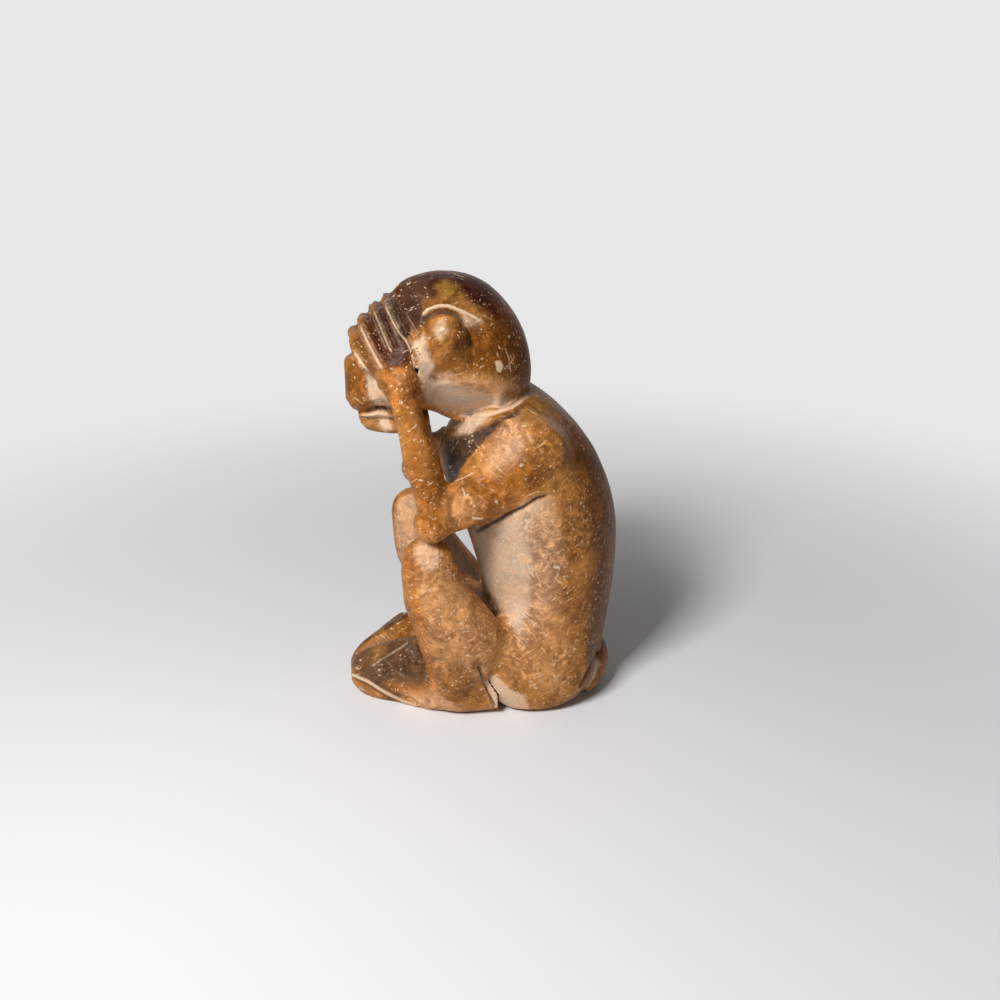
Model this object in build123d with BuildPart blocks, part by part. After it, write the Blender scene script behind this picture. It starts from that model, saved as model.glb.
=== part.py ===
from build123d import *
from math import cos, radians, sin
import os

# A small seated monkey carved from one block of soapstone: it hunches forward with
# its elbows on its knees and both hands pressed over its eyes. Each carved mass is a
# piece of its own, and the pieces meet face to face along the carving's creases.
# Millimetres. The monkey faces -Y, its left side is +X and it sits on the plane Z = 0.

# Torso
torso_height = 56.0
chest_reach = 12.0
back_reach = 18.4
torso_width = 31.0

# Head
head_length = 27.4
head_width = 23.0
head_height = 21.2
head_tilt = 50.0
head_forward = 8.7
neck_sink = 4.5

# Face, mouth and ears
muzzle_reach = 5.1
muzzle_height = 9.6
jaw_reach = 3.1
jaw_height = 3.4
mouth_slit = 0.35
ear_width = 7.9
ear_stand = 2.3

# Arms and hands
shoulder_spread = 11.6
shoulder_radius = 7.2
elbow_spread = 13.4
elbow_radius = 3.1
wrist_radius = 2.3
palm_width = 8.6
palm_thickness = 3.9
finger_width = 2.5
finger_thickness = 3.0

# Legs, feet and tail
knee_height = 33.6
knee_reach = 20.2
leg_spread = 11.4
leg_thickness = 10.4
foot_reach = 29.2
foot_height = 12.0
foot_spread = 9.2
foot_width = 10.0
haunch_length = 21.0
haunch_width = 14.0
haunch_spread = 9.0
web_height = 17.0
web_width = 15.0
tail_height = 5.8
tail_thickness = 3.2

# Latitudes of the rings that an egg is lofted through.
EGG_ANGLES = (-80, -54, -27, 0, 27, 54, 80)

os.makedirs("parts", exist_ok=True)

head_centre = Vector(0, -head_forward, torso_height - neck_sink + head_height / 2)


def on_head(across, forward, up):
    """A point by its shares of the head's half width, half length and half height."""
    reach = (across * head_width / 2, -forward * head_length / 2, up * head_height / 2)
    return head_centre + Vector(*reach)


def between(start, end, share):
    """The value or point that lies a share of the way from start to end."""
    return start + (end - start) * share


def egg(plane, half_wide, half_deep, half_length):
    """An egg lofted through level rings up a plane's normal, about its origin."""
    with BuildPart() as made:
        for angle in EGG_ANGLES:
            height = half_length * sin(radians(angle))
            size = cos(radians(angle))
            with BuildSketch(plane.offset(height)):
                Ellipse(half_wide * size, half_deep * size)
        loft()
    return made.part


def limb(stations, across):
    """Lofts one limb through (centre, half width, half thickness) stations."""
    centres = [station[0] for station in stations]
    with BuildPart() as made:
        for index, (centre, wide, thick) in enumerate(stations):
            before = centres[max(index - 1, 0)]
            after = centres[min(index + 1, len(centres) - 1)]
            with BuildSketch(Plane(origin=centre, x_dir=across, z_dir=after - before)):
                Ellipse(wide, thick)
        loft()
    return made.part


def stack(levels):
    """Lofts level ellipses, each a (height, front, back, middle x, half width)."""
    with BuildPart() as made:
        for height, front, back, middle, half_width in levels:
            with BuildSketch(Plane.XY.offset(height)):
                with Locations((middle, (front + back) / 2)):
                    Ellipse(half_width, (back - front) / 2)
        loft()
    return made.part


def row(slices):
    """Lofts upright ellipses, each a (y, middle x, half width, bottom, top)."""
    with BuildPart() as made:
        for place, middle, half_width, bottom, top in slices:
            with BuildSketch(Plane.XZ.offset(-place)):
                with Locations((middle, (bottom + top) / 2)):
                    Ellipse(half_width, (top - bottom) / 2)
        loft()
    return made.part


# Torso: level ellipses stacked up the hunched back. Columns are shares of the torso's
# height, the chest's reach, the back's reach and half the torso's width.
TORSO_SHARES = (
    (0.000, 0.25, 0.68, 0.62),
    (0.035, 0.36, 0.80, 0.72),
    (0.160, 0.38, 0.91, 0.79),
    (0.320, 0.42, 0.97, 0.87),
    (0.500, 0.60, 1.00, 0.92),
    (0.610, 0.78, 0.97, 0.96),
    (0.710, 0.96, 0.88, 1.00),
    (0.820, 0.98, 0.71, 1.00),
    (0.895, 0.78, 0.53, 0.88),
    (0.955, 0.60, 0.34, 0.66),
    (1.000, 0.44, 0.10, 0.36),
)
torso_levels = []
for up, front, back, wide in TORSO_SHARES:
    front_y = -front * chest_reach
    back_y = back * back_reach
    torso_levels.append((up * torso_height, front_y, back_y, 0, wide * torso_width / 2))
torso_mass = stack(torso_levels)

# Head: an egg whose long axis dips towards the nape.
head_axis = (0, cos(radians(head_tilt)), -sin(radians(head_tilt)))
head_plane = Plane(origin=head_centre, x_dir=(1, 0, 0), z_dir=head_axis)
head_egg = egg(head_plane, head_width / 2, head_height / 2, head_length / 2)

# Ears: a low round boss on each side of the head, at these shares of the head's half
# sizes and facing out, a little forward and a little up.
EAR_PLACE_SHARES = (0.94, 0.27, 0.36)
EAR_FACING_SHARES = (0.95, -0.23, 0.21)
ear_plane = Plane(origin=on_head(*EAR_PLACE_SHARES), z_dir=EAR_FACING_SHARES)
ear_boss = egg(ear_plane, ear_width / 2, ear_width / 2, ear_stand)

# Face: upright ellipses from inside the head out to the brow, then to the muzzle's
# tip. Columns are shares of the head's half length, its half width and its half
# height, and for the muzzle of its own reach, half width and height. The muzzle is as
# wide for its head whatever the head's width, so that the whole face swells with it.
FACE_SHARES = (
    (0.00, 0.82, -0.76, 0.78),
    (0.25, 0.86, -0.86, 0.74),
    (0.50, 0.85, -0.90, 0.68),
    (0.74, 0.79, -0.91, 0.55),
    (0.95, 0.67, -0.90, 0.36),
)
MUZZLE_SHARES = (
    (0.35, 1.08, 0.01, 1.14),
    (0.70, 0.96, 0.02, 1.00),
    (0.92, 0.78, 0.12, 0.92),
    (1.00, 0.56, 0.24, 0.82),
)
face_slices = []
for forward, wide, bottom, top in FACE_SHARES:
    low = on_head(0, forward, bottom)
    high = on_head(0, forward, top)
    face_slices.append((low.Y, 0, wide * head_width / 2, low.Z, high.Z))
face_front = on_head(0, 1, 0).Y
muzzle_width_share = 0.548
muzzle_width = muzzle_width_share * head_width
muzzle_floor_share = -0.91
muzzle_floor = on_head(0, 0, muzzle_floor_share).Z
for forward, wide, bottom, top in MUZZLE_SHARES:
    low_z = muzzle_floor + bottom * muzzle_height
    high_z = muzzle_floor + top * muzzle_height
    place = face_front - forward * muzzle_reach
    face_slices.append((place, 0, wide * muzzle_width / 2, low_z, high_z))
face_mass = row(face_slices)

# Lower jaw: a short tongue of stone hung under the mouth slit. Columns are shares of
# the way from inside the throat to the jaw's tip, then of the jaw's own size.
JAW_SHARES = (
    (0.00, 0.80, 0.85, 1.00),
    (0.40, 1.00, 1.00, 1.00),
    (0.75, 0.90, 0.97, 1.00),
    (0.92, 0.68, 0.80, 0.95),
    (1.00, 0.40, 0.60, 0.82),
)
jaw_root_share = 0.40
jaw_width_share = 0.452
jaw_width = jaw_width_share * head_width
jaw_top = muzzle_floor - mouth_slit
jaw_root_y = on_head(0, jaw_root_share, 0).Y
jaw_tip_y = face_front - jaw_reach
jaw_slices = []
for along, wide, drop, lift in JAW_SHARES:
    low_z = jaw_top - drop * jaw_height
    high_z = jaw_top + (lift - 1) * jaw_height
    place = between(jaw_root_y, jaw_tip_y, along)
    jaw_slices.append((place, 0, wide * jaw_width / 2, low_z, high_z))
jaw_mass = row(jaw_slices)

# Arms: each limb is a path from joint to joint. Columns are the share of the way
# along, the backward bow and the width as shares of the local radius, and the
# thickness as a share of the width.
UPPER_ARM_SHARES = (
    (0.00, 0.00, 1.00, 0.62),
    (0.41, 0.00, 1.00, 0.70),
    (0.74, 0.00, 0.93, 0.84),
    (1.00, 0.00, 0.90, 0.97),
)
FOREARM_SHARES = (
    (0.00, 0.00, 0.95, 0.97),
    (0.25, 0.33, 0.96, 0.95),
    (0.50, 0.30, 1.05, 0.86),
    (0.75, 0.28, 0.96, 0.88),
    (1.00, 0.00, 1.00, 0.86),
)
shoulder_back_share = 0.06
shoulder_up_share = 0.83
elbow_forward_share = 0.74
elbow_rise_share = 1.10
WRIST_SHARES = (1.01, 0.78, -0.40)
shoulder_y = shoulder_back_share * back_reach
shoulder = Vector(shoulder_spread, shoulder_y, shoulder_up_share * torso_height)
elbow_y = -elbow_forward_share * knee_reach
elbow = Vector(elbow_spread, elbow_y, knee_height + elbow_rise_share * elbow_radius)
wrist = on_head(*WRIST_SHARES)


def arm_stations(start, end, start_radius, end_radius, table):
    """Centre, half width and half thickness along one length of the arm."""
    stations = []
    for along, bow, wide, thick in table:
        radius = between(start_radius, end_radius, along)
        centre = between(start, end, along) + Vector(0, bow * radius, 0)
        stations.append((centre, wide * radius, thick * wide * radius))
    return stations


upper_arm_stations = arm_stations(
    shoulder, elbow, shoulder_radius, elbow_radius, UPPER_ARM_SHARES
)
# A lens-shaped cap rounds off the shoulder, a little proud of the arm's first station.
shoulder_cap_share = 1.03
shoulder_depth_share = 0.62
UPPER_ARM_ACROSS_SHARES = (0, -0.5, 1)
shoulder_plane = Plane(origin=shoulder, z_dir=(1, 0, 0))
shoulder_cap = shoulder_cap_share * shoulder_radius
with BuildPart() as upper_arm_limb:
    add(limb(upper_arm_stations, across=UPPER_ARM_ACROSS_SHARES))
    add(egg(shoulder_plane, shoulder_cap, shoulder_cap, shoulder_depth_share * shoulder_cap))
upper_arm_mass = upper_arm_limb.part
forearm_stations = arm_stations(elbow, wrist, elbow_radius, wrist_radius, FOREARM_SHARES)
with BuildPart() as forearm_limb:
    add(limb(forearm_stations, across=(0, 1, 0)))
    with Locations(elbow):
        Sphere(elbow_radius)
forearm_mass = forearm_limb.part

# Fingers: four rounded bars fanned side by side over the eyes, each through its
# knuckle, middle and tip. Rows are shares of the head's half sizes.
FINGER_SHARES = {
    "little": ((0.80, 1.03, -0.17), (0.50, 1.19, 0.13), (-0.02, 1.19, 0.28)),
    "ring": ((0.84, 0.92, -0.02), (0.50, 1.09, 0.34), (-0.02, 1.09, 0.46)),
    "middle": ((0.87, 0.79, 0.10), (0.52, 0.96, 0.50), (-0.02, 0.94, 0.62)),
    "index": ((0.90, 0.66, 0.18), (0.55, 0.80, 0.62), (-0.02, 0.79, 0.72)),
}
FINGER_TAPER_SHARES = (0.85, 1.00, 0.90)
knuckles = [on_head(*rows[0]) for rows in FINGER_SHARES.values()]
knuckle_line = (knuckles[-1] - knuckles[0]).normalized()
knuckle_middle = (knuckles[0] + knuckles[-1]) / 2
finger_masses = {}
for finger, rows in FINGER_SHARES.items():
    stations = []
    for row_shares, taper in zip(rows, FINGER_TAPER_SHARES):
        half_width = taper * finger_width / 2
        stations.append((on_head(*row_shares), half_width, taper * finger_thickness / 2))
    with BuildPart() as finger_bar:
        add(limb(stations, across=knuckle_line))
        split(bisect_by=Plane.YZ, keep=Keep.TOP)
    finger_masses[finger] = finger_bar.part

# Hand: the back of the hand widens from the wrist to the knuckles, where it turns
# to lie along the fingers.
PALM_SHARES = ((0.00, 1.00), (0.60, 0.80), (1.20, 1.00))
palm_stations = []
for along, thick in PALM_SHARES:
    centre = between(wrist, knuckle_middle, along)
    half_width = between(wrist_radius, palm_width / 2, along)
    palm_stations.append((centre, half_width, thick * palm_thickness / 2))
hand_mass = limb(palm_stations, across=knuckle_line)

# Leg: the folded thigh and shin stand as one slab under the elbow. Columns are
# shares of the knee's height, of its reach for front and back, and of the spread
# and half the thickness.
LEG_SHARES = (
    (0.000, -0.66, -0.28, 0.80, 0.72),
    (0.100, -0.73, -0.28, 0.84, 0.84),
    (0.200, -0.78, -0.29, 0.90, 0.92),
    (0.290, -0.82, -0.22, 0.93, 0.96),
    (0.400, -0.87, -0.12, 0.97, 1.00),
    (0.550, -0.93, -0.23, 1.00, 1.00),
    (0.720, -0.99, -0.43, 1.00, 0.94),
    (0.860, -1.00, -0.54, 1.00, 0.84),
    (0.940, -0.97, -0.59, 1.00, 0.66),
    (0.985, -0.90, -0.64, 1.00, 0.40),
    (1.000, -0.84, -0.68, 1.00, 0.18),
)
leg_levels = []
for up, front, back, middle, thick in LEG_SHARES:
    front_y = front * knee_reach
    back_y = back * knee_reach
    half_width = thick * leg_thickness / 2
    leg_levels.append((up * knee_height, front_y, back_y, middle * leg_spread, half_width))
leg_mass = stack(leg_levels)

# Foot: a wedge that narrows from the heel to a toe beside the other foot's toe.
# Columns are shares of the reach, the spread, half the width and the height.
FOOT_SHARES = (
    (1.000, 0.06, 0.24, 0.16, 0.44),
    (0.965, 0.12, 0.42, 0.04, 0.58),
    (0.880, 0.22, 0.62, -0.10, 0.73),
    (0.750, 0.36, 0.78, -0.16, 0.88),
    (0.550, 0.70, 0.96, -0.18, 1.00),
    (0.340, 1.00, 0.98, -0.16, 0.86),
    (0.155, 1.14, 0.66, -0.10, 0.44),
)
foot_slices = []
for forward, middle, wide, bottom, top in FOOT_SHARES:
    half_width = wide * foot_width / 2
    low_z = bottom * foot_height
    high_z = top * foot_height
    foot_slices.append((-forward * foot_reach, middle * foot_spread, half_width, low_z, high_z))
with BuildPart() as foot_half:
    add(row(foot_slices))
    split(bisect_by=Plane.YZ, keep=Keep.TOP)
foot_mass = foot_half.part

# Haunch, the stone left between the shins, and the tail that curls to the left.
haunch_back_share = 0.18
haunch_up_share = 0.40
haunch_y = haunch_back_share * back_reach
haunch_centre = (haunch_spread, haunch_y, haunch_up_share * haunch_length)
haunch_plane = Plane(origin=haunch_centre, z_dir=(1, 0, 0))
haunch_mass = egg(haunch_plane, haunch_length / 2, haunch_length / 2, haunch_width / 2)
WEB_SHARES = ((0.00, -0.62, 0.10), (0.60, -0.66, 0.05), (1.00, -0.62, -0.20))
web_levels = []
for up, front, back in WEB_SHARES:
    web_levels.append((up * web_height, front * knee_reach, back * knee_reach, 0, web_width / 2))
web_mass = stack(web_levels)
TAIL_SHARES = (
    (-0.20, 0.88, 0.082, 0.60),
    (0.18, 0.88, 0.082, 0.85),
    (0.42, 0.80, 0.076, 1.00),
    (0.62, 0.64, 0.064, 0.95),
)
tail_stations = []
for across, back, up, size in TAIL_SHARES:
    centre = Vector(across * torso_width / 2, back * back_reach, up * torso_height)
    tail_stations.append((centre, size * tail_height / 2, size * tail_thickness / 2))
tail_mass = limb(tail_stations, across=(0, 0, 1))

# The mirrored masses that pieces on the middle line also meet.
right_haunch_mass = mirror(haunch_mass, about=Plane.YZ)
right_leg_mass = mirror(leg_mass, about=Plane.YZ)
right_foot_mass = mirror(foot_mass, about=Plane.YZ)

# Everything below the floor plane is cut away, so the carving stands flat.
floor_depth = torso_height / 2
floor_side = 2 * torso_height
with BuildPart() as below_floor:
    with Locations((0, 0, -floor_depth / 2)):
        Box(floor_side, floor_side, floor_depth)


def cut(*masses):
    """Cuts the piece in hand back to each of its neighbours."""
    for mass in masses:
        add(mass, mode=Mode.SUBTRACT)


def write(name, piece):
    """Names a finished piece and writes its file."""
    piece.label = name
    export_step(piece, f"parts/{name}.step")


with BuildPart() as torso:
    add(torso_mass)
    cut(head_egg)

with BuildPart() as head:
    add(head_egg)

with BuildPart() as muzzle:
    add(face_mass)
    cut(head_egg)

with BuildPart() as lower_jaw:
    add(jaw_mass)
    cut(head_egg, face_mass)

with BuildPart() as shin_web:
    add(web_mass)
    cut(torso_mass, haunch_mass, right_haunch_mass, leg_mass, right_leg_mass)
    cut(foot_mass, right_foot_mass)

with BuildPart() as tail:
    add(tail_mass)
    cut(torso_mass, haunch_mass, right_haunch_mass, below_floor.part)

middle_pieces = {
    "torso": torso,
    "head": head,
    "muzzle": muzzle,
    "lower_jaw": lower_jaw,
    "shin_web": shin_web,
    "tail": tail,
}
for name, made in middle_pieces.items():
    write(name, made.part)

with BuildPart() as ear:
    add(ear_boss)
    cut(head_egg, face_mass)

with BuildPart() as hand:
    add(hand_mass)
    cut(head_egg, face_mass)

with BuildPart() as forearm:
    add(forearm_mass)
    cut(hand_mass, face_mass)

with BuildPart() as upper_arm:
    add(upper_arm_mass)
    cut(torso_mass, forearm_mass)

with BuildPart() as haunch:
    add(haunch_mass)
    cut(torso_mass, below_floor.part)

with BuildPart() as leg:
    add(leg_mass)
    cut(torso_mass, haunch_mass, forearm_mass, upper_arm_mass)

with BuildPart() as foot:
    add(foot_mass)
    cut(leg_mass, haunch_mass, torso_mass, below_floor.part)

paired_pieces = {
    "ear": ear,
    "hand": hand,
    "forearm": forearm,
    "upper_arm": upper_arm,
    "haunch": haunch,
    "leg": leg,
    "foot": foot,
}
neighbour_masses = [head_egg, face_mass, hand_mass]
for finger_name, finger_mass in finger_masses.items():
    with BuildPart() as finger:
        add(finger_mass)
        cut(*neighbour_masses)
    neighbour_masses.append(finger_mass)
    paired_pieces[f"{finger_name}_finger"] = finger

for name, made in paired_pieces.items():
    write(f"left_{name}", made.part)
    with BuildPart() as mirrored:
        mirror(made.part, about=Plane.YZ)
    write(f"right_{name}", mirrored.part)
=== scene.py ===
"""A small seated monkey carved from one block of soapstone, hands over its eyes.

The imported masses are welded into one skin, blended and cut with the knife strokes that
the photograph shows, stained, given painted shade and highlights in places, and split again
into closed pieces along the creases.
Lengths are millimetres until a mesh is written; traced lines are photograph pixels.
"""

import logging
import math
from collections.abc import Iterator
from dataclasses import dataclass
from enum import Enum
from functools import partialmethod

import bmesh
import bpy
import numpy as np
from mathutils import Matrix, Vector, noise
from mathutils.bvhtree import BVHTree
from mathutils.kdtree import KDTree

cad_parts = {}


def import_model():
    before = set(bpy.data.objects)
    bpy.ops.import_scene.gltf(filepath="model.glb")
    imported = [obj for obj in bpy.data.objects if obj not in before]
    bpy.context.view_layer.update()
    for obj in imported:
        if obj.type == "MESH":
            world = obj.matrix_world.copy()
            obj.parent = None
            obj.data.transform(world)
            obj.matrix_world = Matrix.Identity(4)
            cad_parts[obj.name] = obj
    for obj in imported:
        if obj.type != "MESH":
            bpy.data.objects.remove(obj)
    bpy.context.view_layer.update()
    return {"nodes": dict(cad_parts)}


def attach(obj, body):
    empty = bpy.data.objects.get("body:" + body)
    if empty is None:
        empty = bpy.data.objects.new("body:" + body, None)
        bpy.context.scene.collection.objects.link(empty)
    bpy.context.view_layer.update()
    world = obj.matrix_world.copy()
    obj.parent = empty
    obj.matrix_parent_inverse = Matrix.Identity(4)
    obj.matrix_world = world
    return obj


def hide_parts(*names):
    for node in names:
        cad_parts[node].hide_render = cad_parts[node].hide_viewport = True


LOG = logging.getLogger("carving")
MM = 0.001
FRAME_PIXELS = 1000
GRAIN = 0.25
RIPPLES = ((5.0, 0.10), (1.6, 0.035))
SIDES = ("left_", "right_")
MIRRORS = (np.array((1, 1, 1)), np.array((-1, 1, 1)))
Line = tuple[tuple[float, float], ...]
Colour = tuple[float, float, float]
Socket = bpy.types.NodeSocket
Feed = Socket | float | Colour  # what an input of a node takes


def linear(red: int, green: int, blue: int) -> Colour:
    """Turns a screen colour of 0 to 255 into linear light."""
    shares = (value / 255 for value in (red, green, blue))
    return tuple(s / 12.92 if s <= 0.04045 else ((s + 0.055) / 1.055) ** 2.4 for s in shares)


def smooth(low: float, high: float, value: np.ndarray) -> np.ndarray:
    """Eases from 0 at low to 1 at high."""
    share = np.clip((value - low) / (high - low), 0, 1)
    return share * share * (3 - 2 * share)


def both(*names: str) -> tuple[str, ...]:
    """Names of the left and right pieces of each kind."""
    return tuple(side + name for name in names for side in SIDES)


class StainAndPaintedLight(Enum):
    """The carver's stains and waxes, some also used as painted shade and highlights."""

    AMBER = linear(168, 112, 54)
    ORANGE = linear(178, 108, 44)
    HONEY = linear(192, 138, 90)
    OCHRE = linear(160, 112, 56)
    OLIVE = linear(134, 102, 34)
    UMBER = linear(126, 74, 18)
    OXBLOOD = linear(66, 22, 10)
    BARK = linear(84, 60, 44)
    BLUSH = linear(216, 170, 132)
    ASH = linear(204, 178, 152)
    CREAM = linear(238, 214, 180)
    # A near-black: painted shade on the chest, in the lap and inside the far leg; also darkens
    # creases.
    SHADE_AND_CREASE_BLACK = linear(26, 18, 13)


class Blade(Enum):
    """The section that one stroke of the knife leaves."""

    VEE = "vee"
    ROUND = "round"


@dataclass(frozen=True)
class Viewpoint:
    """Where the photograph was taken from, and its field of view."""

    azimuth: float = 81.0
    elevation: float = 22.0
    distance: float = 186.0
    target: tuple[float, float, float] = (0.0, -2.0, 35.0)
    field_of_view: float = 50.0

    def axes(self) -> np.ndarray:
        """Rows point to the right, up and back of the view.

        Returns:
            Three unit vectors, one a row.
        """
        turn, tilt = math.radians(self.azimuth), math.radians(self.elevation)
        flat = np.array([math.sin(turn), -math.cos(turn), 0.0])
        back = flat * math.cos(tilt) + np.array([0.0, 0.0, math.sin(tilt)])
        right = np.array([math.cos(turn), math.sin(turn), 0.0])
        return np.array([right, np.cross(back, right), back])

    def place(self) -> np.ndarray:
        """The lens's place in millimetres."""
        return np.array(self.target) + self.distance * self.axes()[2]

    def pixels(self, points: np.ndarray) -> np.ndarray:
        """Projects points onto the photograph.

        Args:
            points: One point a row, in millimetres.

        Returns:
            One pixel a row.
        """
        seen = (points - self.place()) @ self.axes().T
        focal = FRAME_PIXELS / 2 / math.tan(math.radians(self.field_of_view) / 2)
        flat = focal * seen[:, :2] / -seen[:, 2:]
        return np.column_stack((FRAME_PIXELS / 2 + flat[:, 0], FRAME_PIXELS / 2 - flat[:, 1]))

    def scale(self) -> float:
        """Pixels in one millimetre at the middle of the object."""
        focal = FRAME_PIXELS / 2 / math.tan(math.radians(self.field_of_view) / 2)
        return focal / self.distance

    def add_camera(self) -> None:
        """Sets the scene's camera at the photograph's viewing angle."""
        data = bpy.data.cameras.new("camera")
        data.angle = math.radians(self.field_of_view)
        data.clip_start = MM
        camera = bpy.data.objects.new("camera", data)
        camera.location = Vector(self.place()) * MM
        camera.rotation_euler = Vector(self.axes()[2]).to_track_quat("Z", "Y").to_euler()
        bpy.context.scene.collection.objects.link(camera)
        bpy.context.scene.camera = camera


@dataclass(frozen=True)
class Cut:
    """One stroke of the knife along a traced line.

    A negative depth raises a ridge. The stroke thins out over its last share at each end.
    """

    line: Line
    width: float
    depth: float
    on: tuple[str, ...]
    blade: Blade = Blade.VEE
    raw: float = 0.0
    # How much darker the bottom of the cut is painted.
    soot: float = 0.0
    fade: float = 0.12
    once: bool = False


@dataclass(frozen=True)
class Patch:
    """A patch of stain, painted shade or highlight in a traced outline, soft at its edge
    (pixels).
    """

    outline: Line
    stain: StainAndPaintedLight
    amount: float
    on: tuple[str, ...]
    soft: float = 5.0
    raw: float = 0.0
    once: bool = False


@dataclass(frozen=True)
class Press:
    """A soft push of the stone about a centre, mirrored to both sides."""

    centre: tuple[float, float, float]
    reach: float
    shift: tuple[float, float, float]


@dataclass(frozen=True)
class Facet:
    """A flat left by one pass of the knife, mirrored to both sides."""

    centre: tuple[float, float, float]
    facing: tuple[float, float, float]
    reach: float
    share: float = 0.8


@dataclass(frozen=True)
class Plug:
    """A rounded lump of stone left between two masses, mirrored to both sides."""

    centre: tuple[float, float, float]
    radii: tuple[float, float, float]
    owner: str


PLUGS = (
    Plug((9.3, -16.2, 61.6), (2.0, 2.0, 4.6), "head"),
    Plug((9.5, -17.7, 62.4), (1.5, 1.7, 4.6), "head"),
    Plug((2.2, -21.6, 52.3), (3.0, 4.1, 0.7), "lower_jaw"),
)


def line_distance(spots: np.ndarray, line: Line) -> tuple[np.ndarray, np.ndarray]:
    """Distance from each pixel to a traced line, and how far along it lies.

    Args:
        spots: One pixel a row.
        line: The traced points in order.

    Returns:
        Distances in pixels, and shares from 0 at the line's start to 1 at its end.
    """
    knots = np.array(line, float)
    lengths = np.linalg.norm(np.diff(knots, axis=0), axis=1)
    passed = np.concatenate(([0.0], np.cumsum(lengths)))
    nearest = np.full(len(spots), np.inf)
    along = np.zeros(len(spots))
    for index, length in enumerate(lengths):
        start, run = knots[index], knots[index + 1] - knots[index]
        share = np.clip((spots - start) @ run / length**2, 0, 1)
        gap = np.linalg.norm(spots - start - share[:, None] * run, axis=1)
        closer = gap < nearest
        nearest[closer] = gap[closer]
        along[closer] = (passed[index] + share[closer] * length) / passed[-1]
    return nearest, along


def inside(spots: np.ndarray, outline: Line) -> np.ndarray:
    """True for each pixel that lies inside a closed outline.

    Args:
        spots: One pixel a row.
        outline: The traced points in order.

    Returns:
        One truth value a pixel.
    """
    knots = np.array(outline, float)
    result = np.zeros(len(spots), bool)
    for start, end in zip(knots, np.roll(knots, -1, axis=0)):
        spans = (start[1] > spots[:, 1]) != (end[1] > spots[:, 1])
        rise = (end[1] - start[1]) or 1.0
        crossing = start[0] + (spots[:, 1] - start[1]) * (end[0] - start[0]) / rise
        result ^= spans & (spots[:, 0] < crossing)
    return result


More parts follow.
